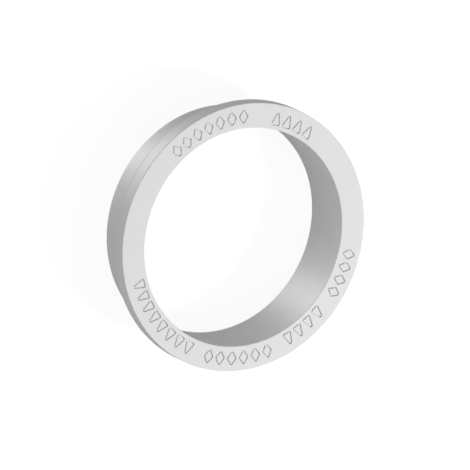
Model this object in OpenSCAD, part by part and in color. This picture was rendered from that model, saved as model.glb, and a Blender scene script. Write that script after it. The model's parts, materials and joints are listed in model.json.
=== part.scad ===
// Impeller gasket of a swimming-pool pump: one moulded ring with a flange and a sleeve.
// The impeller's eye turns in the bore. The sleeve seats in the pump's diffuser, and the
// flange's broad face looks at the strainer. +Z runs along the bore towards that face, and
// the origin is the middle of the sleeve's open end, on which the ring stands.

/* [Bore] */
// Diameter of the bore that the impeller's eye turns in
bore_d = 69.8; // [50:0.1:90]
// Length of the flared mouth where the impeller enters the bore
lead_in_l = 1.5; // [0.5:0.1:4]
// How much wider that mouth is than the bore, on the radius
lead_in_w = 0.2; // [0.1:0.05:0.8]

/* [Sleeve] */
// Thickness of the wall between the bore and the sleeve's outside
sleeve_wall = 2.8; // [2:0.1:6]
// Length of the sleeve behind the flange
sleeve_l = 13.7; // [8:0.1:30]

/* [Flange] */
// How far the flange stands out past the sleeve
flange_lip = 5.15; // [2:0.05:12]
// Thickness of the flange
flange_t = 5.8; // [3:0.1:10]

/* [Edges] */
// Radius on the rims of the broad face and on the sleeve's outer end
face_edge_r = 0.2; // [0.1:0.05:0.4]
// Length of the shallow bevel on the flange's rim behind
back_bevel_l = 1.1; // [0.4:0.1:2]
// How far that bevel leans in from the flange's rim
back_bevel_w = 0.4; // [0.2:0.05:1]
// Fillet in the corner where the sleeve leaves the flange
root_r = 0.5; // [0.2:0.05:0.8]

/* [Hidden] */
$fn = 180;
bore_r = bore_d / 2;
sleeve_r = bore_r + sleeve_wall;
flange_r = sleeve_r + flange_lip;
height = sleeve_l + flange_t;
overlap = 0.5;

// What a rounded edge takes off a square corner: the corner is at the origin and the
// material lies towards +X and +Y.
module edge_waste(r) {
  difference() {
    translate([-overlap, -overlap])
      square(r + overlap);
    translate([r, r])
      circle(r);
  }
}

// Half the section through the wall, with X as the radius and Y as the height.
module flange_section() {
  difference() {
    translate([bore_r, sleeve_l])
      square([flange_r - bore_r, flange_t]);
    // bore's rim of the broad face
    translate([bore_r, height])
      mirror([0, 1])
        edge_waste(face_edge_r);
    // outer rim of the broad face
    translate([flange_r, height])
      rotate(180)
        edge_waste(face_edge_r);
    // bevelled rim behind
    polygon([
      [flange_r - back_bevel_w * (1 + overlap / back_bevel_l), sleeve_l - overlap],
      [flange_r + overlap, sleeve_l - overlap],
      [flange_r + overlap, sleeve_l + back_bevel_l],
      [flange_r, sleeve_l + back_bevel_l]
    ]);
  }
}

module sleeve_section() {
  difference() {
    translate([bore_r, 0])
      square([sleeve_wall, sleeve_l + overlap]);
    // flared mouth of the bore
    polygon([
      [bore_r - overlap, -overlap],
      [bore_r + lead_in_w * (1 + overlap / lead_in_l), -overlap],
      [bore_r, lead_in_l],
      [bore_r - overlap, lead_in_l]
    ]);
    // outer rim of the open end
    translate([sleeve_r, 0])
      mirror([1, 0])
        edge_waste(face_edge_r);
  }
}

module root_fillet_section() {
  translate([sleeve_r, sleeve_l])
    difference() {
      translate([-overlap, -root_r])
        square([root_r + overlap, root_r + overlap]);
      translate([root_r, -root_r])
        circle(root_r);
    }
}

module impeller_gasket() {
  color("gainsboro")
    rotate_extrude()
      union() {
        flange_section();
        sleeve_section();
        root_fillet_section();
      }
}

impeller_gasket();
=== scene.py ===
# A pump impeller gasket on a pale studio floor, its broad face up, seen from above and from
# the side on which its sleeve shows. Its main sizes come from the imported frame, in metres.
import json
import math

import bpy
from mathutils import Matrix, Vector


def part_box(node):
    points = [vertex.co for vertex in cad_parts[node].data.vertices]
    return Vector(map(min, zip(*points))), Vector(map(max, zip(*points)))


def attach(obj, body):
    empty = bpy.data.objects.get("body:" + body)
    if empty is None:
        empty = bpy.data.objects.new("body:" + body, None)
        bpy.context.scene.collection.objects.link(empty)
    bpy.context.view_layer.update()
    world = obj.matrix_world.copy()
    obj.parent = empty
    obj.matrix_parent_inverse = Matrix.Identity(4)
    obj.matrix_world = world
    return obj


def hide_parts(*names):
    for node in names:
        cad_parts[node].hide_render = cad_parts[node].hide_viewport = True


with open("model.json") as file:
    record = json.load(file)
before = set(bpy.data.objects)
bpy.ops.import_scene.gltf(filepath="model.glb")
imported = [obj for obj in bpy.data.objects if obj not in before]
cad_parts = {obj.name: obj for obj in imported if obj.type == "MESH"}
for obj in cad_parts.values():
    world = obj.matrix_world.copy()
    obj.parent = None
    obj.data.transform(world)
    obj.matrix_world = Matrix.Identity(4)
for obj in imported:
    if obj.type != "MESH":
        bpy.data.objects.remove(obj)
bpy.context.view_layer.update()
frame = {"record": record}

# The ring's body: a flange, a sleeve behind it and a bore right through, injection moulded in
# one shot from polyethylene. The mould parts at the flange's rims, so most edges are nearly
# square. The rim behind has a shallow bevel, and the bore flares a little at the open end.
MM = 0.001
MOUTH_FLARE = 0.2 * MM
BEVEL_LENGTH = 1.1 * MM
BEVEL_INSET = 0.4 * MM
mounts = {m["name"]: m for m in frame["record"]["mounts"]}
bore_wall = mounts["eye_bore"]
low_corner, high_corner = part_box("impeller_gasket")
BODY_SIZES = {
    "Bore Radius": bore_wall["dims"]["r_mm"] * MM,
    "Mouth Radius": bore_wall["dims"]["r_mm"] * MM + MOUTH_FLARE,
    "Sleeve Radius": mounts["sleeve"]["dims"]["r_mm"] * MM,
    "Bevel Radius": high_corner.x - BEVEL_INSET,
    "Flange Radius": high_corner.x,
    "Open End": low_corner.z,
    "Mouth Depth": bore_wall["pos_m"][2] - bore_wall["dims"]["length_mm"] / 2 * MM,
    "Shoulder Height": mounts["shoulder"]["pos_m"][2],
    "Bevel Height": mounts["shoulder"]["pos_m"][2] + BEVEL_LENGTH,
    "Face Height": high_corner.z,
    "Square Edge": 0.0,
    "Fine Edge": 0.2 * MM,
    "Root Fillet": 0.5 * MM,
    "Edge Guard": 0.12 * MM,
}
BODY_COUNTS = {"Edge Steps": 6, "Sweep Steps": 360}


def node(tree, kind, inputs=(), **settings):
    """Adds a node with its settings, and feeds its inputs with values or with other nodes."""
    made = tree.nodes.new(kind)
    for name, value in settings.items():
        setattr(made, name, value)
    for key, value in dict(inputs).items():
        for source in value if isinstance(value, list) else [value]:
            if isinstance(source, bpy.types.Node):
                source = source.outputs[0]
            if isinstance(source, bpy.types.NodeSocket):
                tree.links.new(source, made.inputs[key])
            else:
                made.inputs[key].default_value = source
    return made


def new_tree(name, sizes, counts=()):
    """A geometry tree with a named input for each size and count, and the sockets they give."""
    tree = bpy.data.node_groups.new(name, "GeometryNodeTree")
    for size in sizes:
        tree.interface.new_socket(size, in_out="INPUT", socket_type="NodeSocketFloat")
    for count in counts:
        tree.interface.new_socket(count, in_out="INPUT", socket_type="NodeSocketInt")
    tree.interface.new_socket("Geometry", in_out="OUTPUT", socket_type="NodeSocketGeometry")
    return tree, tree.nodes.new("NodeGroupInput").outputs


def section_tree():
    """The wall's section as a closed curve, X outward from the bore and Y down from the foot."""
    tree, size = new_tree("wall_section", BODY_SIZES, BODY_COUNTS)
    corners = [
        ("Mouth Radius", "Open End", "Square Edge"),
        ("Sleeve Radius", "Open End", "Fine Edge"),
        ("Sleeve Radius", "Shoulder Height", "Root Fillet"),
        ("Bevel Radius", "Shoulder Height", "Fine Edge"),
        ("Flange Radius", "Bevel Height", "Fine Edge"),
        ("Flange Radius", "Face Height", "Fine Edge"),
        ("Bore Radius", "Face Height", "Fine Edge"),
        ("Bore Radius", "Mouth Depth", "Square Edge"),
    ]
    places = []
    for radius, height, edge in corners:
        out = node(tree, "ShaderNodeMath", {0: size[radius], 1: size["Bore Radius"]},
                   operation="SUBTRACT")
        down = node(tree, "ShaderNodeMath", {0: size[height], 1: -1.0}, operation="MULTIPLY")
        places.append(node(tree, "ShaderNodeCombineXYZ", {"X": out, "Y": down}))

    # Three points make a corner: itself, and one on each side that keeps the flats flat.
    index = node(tree, "GeometryNodeInputIndex")
    corner = node(tree, "FunctionNodeIntegerMath", {0: index, 1: 3}, operation="DIVIDE_FLOOR")
    third = node(tree, "FunctionNodeIntegerMath", {0: index, 1: 3}, operation="MODULO")
    side = node(tree, "FunctionNodeIntegerMath", {0: third, 1: 1}, operation="SUBTRACT")
    beside = node(tree, "FunctionNodeIntegerMath", {0: side}, operation="ABSOLUTE")
    onward = node(tree, "FunctionNodeIntegerMath", {0: corner, 1: side}, operation="ADD")
    onward = node(tree, "FunctionNodeIntegerMath", {0: onward, 1: len(corners)}, operation="ADD")
    next_one = node(tree, "FunctionNodeIntegerMath", {0: onward, 1: len(corners)},
                    operation="MODULO")
    chosen = []
    for kind, which, choices in (("VECTOR", corner, places), ("VECTOR", next_one, places),
                                 ("FLOAT", corner, [size[edge] for _, _, edge in corners])):
        switch = node(tree, "GeometryNodeIndexSwitch", data_type=kind)
        while len(switch.index_switch_items) < len(choices):
            switch.index_switch_items.new()
        for slot, source in enumerate([which] + choices):
            tree.links.new(getattr(source, "outputs", [source])[0], switch.inputs[slot])
        chosen.append(switch)
    here, there, edge = chosen

    way = node(tree, "ShaderNodeVectorMath", {0: there, 1: here}, operation="SUBTRACT")
    way = node(tree, "ShaderNodeVectorMath", {0: way}, operation="NORMALIZE")
    reach = node(tree, "ShaderNodeMath", {0: edge, 1: size["Edge Guard"]}, operation="ADD")
    reach = node(tree, "ShaderNodeMath", {0: reach, 1: beside}, operation="MULTIPLY")
    step = node(tree, "ShaderNodeVectorMath", {0: way, "Scale": reach}, operation="SCALE")
    place = node(tree, "ShaderNodeVectorMath", {0: here, 1: step}, operation="ADD")
    at_corner = node(tree, "ShaderNodeMath", {0: 1.0, 1: beside}, operation="SUBTRACT")
    radius = node(tree, "ShaderNodeMath", {0: edge, 1: at_corner}, operation="MULTIPLY")

    points = node(tree, "GeometryNodeMeshLine", {"Count": 3 * len(corners)})
    placed = node(tree, "GeometryNodeSetPosition", {"Geometry": points, "Position": place})
    line = node(tree, "GeometryNodeMeshToCurve", {"Mesh": placed})
    closed = node(tree, "GeometryNodeSetSplineCyclic", {"Geometry": line, "Cyclic": True})
    rounded = node(tree, "GeometryNodeFilletCurve",
                   {"Curve": closed, "Count": size["Edge Steps"], "Radius": radius}, mode="POLY")
    node(tree, "NodeGroupOutput", {"Geometry": rounded})
    return tree


# The marks on the broad face: runs of one plain figure each, triangles or lozenges in outline.
# Ribs on the mould leave them as shallow grooves with a little draft and rounded corners. Each
# figure's top points away from the bore, and a run's bearing is counted clockwise from +Y.
MARK_SIZES = {
    "Band Radius": 38.7 * MM,
    "Mark Height": 4.7 * MM,
    "Mark Width": 3.1 * MM,
    "Groove Width": 0.5 * MM,
    "Groove Floor": 0.38 * MM,
    "Groove Depth": 0.4 * MM,
    "Mark Corner": 0.4 * MM,
}
MARK_CORNER_STEPS = 5
MARK_PITCH = math.radians(6.2)
TRIANGLE, LOZENGE = 3, 4
MARK_RUNS = [(-40.1, 7, LOZENGE), (15.0, 4, TRIANGLE), (102.7, 4, LOZENGE),
             (133.5, 4, TRIANGLE), (164.4, 6, LOZENGE), (207.6, 8, TRIANGLE)]


def mark_tree():
    """One mark's cutter: the groove's section swept round the figure's outline."""
    tree, size = new_tree("mark_cutter", MARK_SIZES, ["Corners"])
    figure = node(tree, "GeometryNodeCurvePrimitiveCircle", {"Resolution": size["Corners"]})
    box = node(tree, "GeometryNodeBoundBox", {"Geometry": figure})
    span = node(tree, "ShaderNodeVectorMath", {0: box.outputs["Max"], 1: box.outputs["Min"]},
                operation="SUBTRACT")
    span = node(tree, "ShaderNodeSeparateXYZ", {0: span})
    middle = node(tree, "ShaderNodeVectorMath", {0: box.outputs["Max"], 1: box.outputs["Min"]},
                  operation="ADD")
    back = node(tree, "ShaderNodeVectorMath", {0: middle, "Scale": -0.5}, operation="SCALE")
    centred = node(tree, "GeometryNodeTransform", {"Geometry": figure, "Translation": back})
    upright = node(tree, "GeometryNodeTransform",
                   {"Geometry": centred, "Rotation": (0.0, 0.0, math.pi / 2)})
    wide = node(tree, "ShaderNodeMath", {0: size["Mark Width"], 1: span.outputs["Y"]},
                operation="DIVIDE")
    high = node(tree, "ShaderNodeMath", {0: size["Mark Height"], 1: span.outputs["X"]},
                operation="DIVIDE")
    scale = node(tree, "ShaderNodeCombineXYZ", {"X": wide, "Y": high, "Z": 1.0})
    sized = node(tree, "GeometryNodeTransform", {"Geometry": upright, "Scale": scale})
    rounded = node(tree, "GeometryNodeFilletCurve",
                   {"Curve": sized, "Count": MARK_CORNER_STEPS, "Radius": size["Mark Corner"]},
                   mode="POLY")
    level = node(tree, "GeometryNodeSetCurveNormal", {"Curve": rounded}, mode="Z_UP")
    both_ways = node(tree, "ShaderNodeMath", {0: size["Groove Depth"], 1: 2.0},
                     operation="MULTIPLY")
    groove = node(tree, "GeometryNodeCurvePrimitiveQuadrilateral",
                  {"Height": both_ways, "Bottom Width": size["Groove Floor"],
                   "Top Width": size["Groove Width"], "Offset": 0.0}, mode="TRAPEZOID")
    swept = node(tree, "GeometryNodeCurveToMesh", {"Curve": level, "Profile Curve": groove})
    node(tree, "NodeGroupOutput", {"Geometry": swept})
    return tree


def linear(code):
    """An sRGB hex colour as the linear values that a shader takes."""
    parts = [int(code[i:i + 2], 16) / 255 for i in (1, 3, 5)]
    return tuple(p / 12.92 if p <= 0.04045 else ((p + 0.055) / 1.055) ** 2.4 for p in parts) + (1.0,)


FLOW_PATCH = 9 * MM
GRAIN_SHOWN = 0.35 * MM
GRAIN_RELIEF = 0.02 * MM
LIGHT_DEPTH = 0.6 * MM


def moulded_polyethylene():
    """Pale grey polyethylene from a finely blasted mould.

    It has a waxy look, with a broad soft sheen on the walls and no sharp reflection.
    Light enters it a little way, and its tone drifts slightly where the melt has flowed.
    """
    material = bpy.data.materials.new("moulded_polyethylene")
    material.use_nodes = True
    tree = material.node_tree
    tree.nodes.clear()
    place = node(tree, "ShaderNodeTexCoord").outputs["Object"]
    flow = node(tree, "ShaderNodeTexNoise",
                {"Vector": place, "Scale": 1 / FLOW_PATCH, "Detail": 2.0, "Roughness": 0.5})
    tone = node(tree, "ShaderNodeMix",
                {"Factor": flow, "A": linear("#DCDCDC"), "B": linear("#E1E1E1")},
                data_type="RGBA")
    # The blasted grain is near 0.05 mm; 0.35 mm is the finest that the render can show.
    grain = node(tree, "ShaderNodeTexNoise",
                 {"Vector": place, "Scale": 1 / GRAIN_SHOWN, "Detail": 3.0, "Roughness": 0.6})
    bump = node(tree, "ShaderNodeBump", {"Height": grain, "Strength": 0.12, "Distance": GRAIN_RELIEF})
    skin = node(tree, "ShaderNodeBsdfPrincipled",
                {"Base Color": tone.outputs["Result"], "Roughness": 0.58, "IOR": 1.51,
                 "Normal": bump, "Subsurface Weight": 0.08,
                 "Subsurface Radius": (1.0, 1.0, 1.0), "Subsurface Scale": LIGHT_DEPTH})
    node(tree, "ShaderNodeOutputMaterial", {"Surface": skin})
    return material


def ring_tree():
    """The section revolved about the bore, with the marks cut into the broad face."""
    tree, size = new_tree("moulded_ring", {**BODY_SIZES, **MARK_SIZES}, BODY_COUNTS)
    section = node(tree, "GeometryNodeGroup", {name: size[name] for name in BODY_SIZES},
                   node_tree=section_tree())
    tree.links.new(size["Edge Steps"], section.inputs["Edge Steps"])
    path = node(tree, "GeometryNodeCurvePrimitiveCircle",
                {"Resolution": size["Sweep Steps"], "Radius": size["Bore Radius"]})
    path = node(tree, "GeometryNodeSetCurveNormal", {"Curve": path}, mode="Z_UP")
    inside_out = node(tree, "GeometryNodeCurveToMesh", {"Curve": path, "Profile Curve": section})
    body = node(tree, "GeometryNodeFlipFaces", {"Mesh": inside_out})

    cutter_tree = mark_tree()
    cutter = {corners: node(tree, "GeometryNodeGroup",
                            {"Corners": corners, **{name: size[name] for name in MARK_SIZES}},
                            node_tree=cutter_tree) for corners in (TRIANGLE, LOZENGE)}
    spot = node(tree, "ShaderNodeSeparateXYZ", {0: node(tree, "GeometryNodeInputPosition")})
    bearing = node(tree, "ShaderNodeMath", {0: spot.outputs["Y"], 1: spot.outputs["X"]},
                   operation="ARCTAN2")
    upright = node(tree, "ShaderNodeMath", {0: bearing, 1: math.pi / 2}, operation="SUBTRACT")
    turn = node(tree, "ShaderNodeCombineXYZ", {"Z": upright})
    runs = []
    for first, count, corners in MARK_RUNS:
        sweep = MARK_PITCH * (count - 1)
        start = math.pi / 2 - math.radians(first) - MARK_PITCH / 2 - sweep
        arc = node(tree, "GeometryNodeCurveArc",
                   {"Resolution": count, "Radius": size["Band Radius"],
                    "Start Angle": start, "Sweep Angle": sweep})
        runs.append(node(tree, "GeometryNodeInstanceOnPoints",
                         {"Points": arc, "Instance": cutter[corners], "Rotation": turn}))
    marks = node(tree, "GeometryNodeJoinGeometry", {"Geometry": runs})
    lift = node(tree, "ShaderNodeCombineXYZ", {"Z": size["Face Height"]})
    on_face = node(tree, "GeometryNodeTransform", {"Geometry": marks, "Translation": lift})
    solid_marks = node(tree, "GeometryNodeRealizeInstances", {"Geometry": on_face})
    cut = node(tree, "GeometryNodeMeshBoolean", {"Mesh 1": body, "Mesh 2": [solid_marks]},
               operation="DIFFERENCE", solver="MANIFOLD")
    whole = node(tree, "GeometryNodeRealizeInstances", {"Geometry": cut})
    finished = node(tree, "GeometryNodeSetMaterial",
                    {"Geometry": whole, "Material": moulded_polyethylene()})
    node(tree, "NodeGroupOutput", {"Geometry": finished})
    return tree


SMOOTH_UP_TO = math.radians(32)
maker = bpy.data.objects.new("ring_maker", bpy.data.meshes.new("ring_maker"))
bpy.context.scene.collection.objects.link(maker)
moulding = maker.modifiers.new("moulding", "NODES")
moulding.node_group = ring_tree()
all_sizes = {**BODY_SIZES, **MARK_SIZES, **BODY_COUNTS}
for item in moulding.node_group.interface.items_tree:
    if item.in_out == "INPUT":
        moulding[item.identifier] = all_sizes[item.name]
graph = bpy.context.evaluated_depsgraph_get()
ring_mesh = bpy.data.meshes.new_from_object(maker.evaluated_get(graph), depsgraph=graph)
bpy.data.objects.remove(maker)
ring_mesh.name = "moulded_ring"
ring_mesh.polygons.foreach_set("use_smooth", [True] * len(ring_mesh.polygons))
ring_mesh.set_sharp_from_angle(angle=SMOOTH_UP_TO)
ring = bpy.data.objects.new("moulded_ring", ring_mesh)
bpy.context.scene.collection.objects.link(ring)
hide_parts("impeller_gasket")
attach(ring, "root")

# The studio floor: matt white paper on a light table, a hair below the ring. It looks white to
# the camera, sends a soft light up the walls, is dim in reflections, and takes the ring's faint
# shadow. From underneath it is clear, so that the ring's underside can be seen.
FLOOR_HALF = 1.5
FLOOR_HEIGHT = low_corner.z - 0.05 * MM
floor_mesh = bpy.data.meshes.new("studio_floor")
floor_mesh.from_pydata([(x * FLOOR_HALF, y * FLOOR_HALF, FLOOR_HEIGHT)
                        for x, y in ((-1, -1), (1, -1), (1, 1), (-1, 1))], [], [(0, 1, 2, 3)])
floor = bpy.data.objects.new("studio_floor", floor_mesh)
bpy.context.scene.collection.objects.link(floor)
paper = bpy.data.materials.new("white_backdrop_paper")
paper.use_nodes = True
sheet = paper.node_tree
sheet.nodes.clear()
GLOW_TO_CAMERA = 0.80
GLOW_TO_GLOSS = 0.08
GLOW_TO_REST = 0.31
rays = node(sheet, "ShaderNodeLightPath")
mirrored = node(sheet, "ShaderNodeMath", {0: rays.outputs["Is Glossy Ray"],
                                          1: rays.outputs["Is Transmission Ray"]},
                operation="MAXIMUM")
gain = node(sheet, "ShaderNodeMath", {0: mirrored, 1: GLOW_TO_GLOSS - GLOW_TO_REST,
                                      2: GLOW_TO_REST}, operation="MULTIPLY_ADD")
gain = node(sheet, "ShaderNodeMath", {0: rays.outputs["Is Camera Ray"],
                                      1: GLOW_TO_CAMERA - GLOW_TO_REST, 2: gain},
            operation="MULTIPLY_ADD")
tint = node(sheet, "ShaderNodeMix",
            {"Factor": rays.outputs["Is Camera Ray"], "A": linear("#505050"),
             "B": linear("#A4A4A4")}, data_type="RGBA")
matt = node(sheet, "ShaderNodeBsdfDiffuse", {"Color": tint.outputs["Result"]})
glow = node(sheet, "ShaderNodeEmission", {"Color": linear("#FFFFFF"), "Strength": gain})
lit = node(sheet, "ShaderNodeAddShader", {0: matt, 1: glow})
underside = node(sheet, "ShaderNodeNewGeometry").outputs["Backfacing"]
clear = node(sheet, "ShaderNodeBsdfTransparent")
one_sided = node(sheet, "ShaderNodeMixShader", {0: underside, 1: lit, 2: clear})
node(sheet, "ShaderNodeOutputMaterial", {"Surface": one_sided})
floor_mesh.materials.append(paper)

# The studio's light: an even pale surround, and two soft boxes. The stronger one rakes the face
# from behind the walls that show, which leaves the grooves of the marks in shade.
SURROUND = 0.50
world = bpy.data.worlds.new("studio_surround")
bpy.context.scene.world = world
world.use_nodes = True
air = world.node_tree
air.nodes.clear()
rays = node(air, "ShaderNodeLightPath")
mirrored = node(air, "ShaderNodeMath", {0: rays.outputs["Is Glossy Ray"],
                                        1: rays.outputs["Is Transmission Ray"]},
                operation="MAXIMUM")
seen = node(air, "ShaderNodeMath", {0: rays.outputs["Is Camera Ray"], 1: mirrored},
            operation="MAXIMUM")
level = node(air, "ShaderNodeMath", {0: seen, 1: SURROUND}, operation="MAXIMUM")
sky = node(air, "ShaderNodeBackground", {"Color": linear("#FFFFFF"), "Strength": level})
node(air, "ShaderNodeOutputWorld", {"Surface": sky})


def panel(name, bearing, height, distance, size, level):
    """A square soft box that looks at the ring and lights a facing surface to that level."""
    lamp = bpy.data.lights.new(name, "AREA")
    lamp.size = size
    lamp.energy = level * math.pi * math.pi * distance ** 2
    fitting = bpy.data.objects.new(name, lamp)
    bpy.context.scene.collection.objects.link(fitting)
    turn, rise = math.radians(bearing), math.radians(height)
    away = Vector((math.cos(turn) * math.cos(rise), math.sin(turn) * math.cos(rise), math.sin(rise)))
    fitting.location = away * distance
    fitting.rotation_euler = away.to_track_quat("Z", "Y").to_euler()
    fitting.visible_camera = False
    return fitting


panel("face_panel", bearing=330, height=38, distance=1.1, size=0.3, level=0.68)
panel("left_panel", bearing=190, height=15, distance=1.1, size=0.5, level=0.09)

# The walls' soft streak: the sheen of a small soft box below the floor, which lights gloss
# only. Two flags under the floor keep it off the ring's sides, where the flange's bevel would
# catch it as a bright line. Of all objects, only the ring and the flags shade this lamp.
sheen = panel("sheen_panel", bearing=123, height=-57.5, distance=0.9, size=0.15, level=1.06)
sheen.visible_diffuse = False
FLAG_DISTANCE = 0.08
FLAG_REACH = 0.08
SLOT_HALF = 0.028
toward_lamp = sheen.location.normalized()
aside = Vector((0, 0, 1)).cross(toward_lamp).normalized()
along = toward_lamp.cross(aside)
flag_corners = [toward_lamp * FLAG_DISTANCE + aside * across * hand + along * down
                for hand in (-1, 1)
                for across, down in ((SLOT_HALF, -FLAG_REACH), (FLAG_REACH, -FLAG_REACH),
                                     (FLAG_REACH, FLAG_REACH), (SLOT_HALF, FLAG_REACH))]
cloth = bpy.data.materials.new("black_flag_cloth")
cloth.use_nodes = True
weave = cloth.node_tree
weave.nodes.clear()
dull = node(weave, "ShaderNodeBsdfDiffuse", {"Color": linear("#0A0A0A")})
node(weave, "ShaderNodeOutputMaterial", {"Surface": dull})
flag_mesh = bpy.data.meshes.new("sheen_flags")
flag_mesh.from_pydata(flag_corners, [], [(0, 1, 2, 3), (4, 5, 6, 7)])
flag_mesh.materials.append(cloth)
flags = bpy.data.objects.new("sheen_flags", flag_mesh)
bpy.context.scene.collection.objects.link(flags)
flags.visible_camera = False
blockers = bpy.data.collections.new("sheen_blockers")
blockers.objects.link(ring)
blockers.objects.link(flags)
sheen.light_linking.blocker_collection = blockers

# The camera: a parallel view, as in the photo. The photo's frame is 470 pixels wide and the
# flange's radius fills 138.2 of them, and the face's middle lies a little right of and
# below the frame's middle.
FRAME_PX = 470
FLANGE_PX = 138.22
FACE_RIGHT_PX = 8.286
FACE_DOWN_PX = 2.155
TO_CAMERA = Vector((-0.4655, 0.2689, 0.8434))
IMAGE_UP = Vector((0.130, 0.963, -0.2355))
CAMERA_DISTANCE = 0.8
pixel = high_corner.x / FLANGE_PX
back = TO_CAMERA.normalized()
right = IMAGE_UP.cross(back).normalized()
up = back.cross(right)
face_middle = Vector((0, 0, high_corner.z))
aim = face_middle - right * FACE_RIGHT_PX * pixel + up * FACE_DOWN_PX * pixel
lens = bpy.data.cameras.new("studio_camera")
lens.type = "ORTHO"
lens.ortho_scale = FRAME_PX * pixel
camera = bpy.data.objects.new("studio_camera", lens)
bpy.context.scene.collection.objects.link(camera)
camera.matrix_world = (Matrix.Translation(aim + back * CAMERA_DISTANCE)
                       @ Matrix((right, up, back)).transposed().to_4x4())
bpy.context.scene.camera = camera
bpy.context.scene.view_settings.view_transform = "Standard"
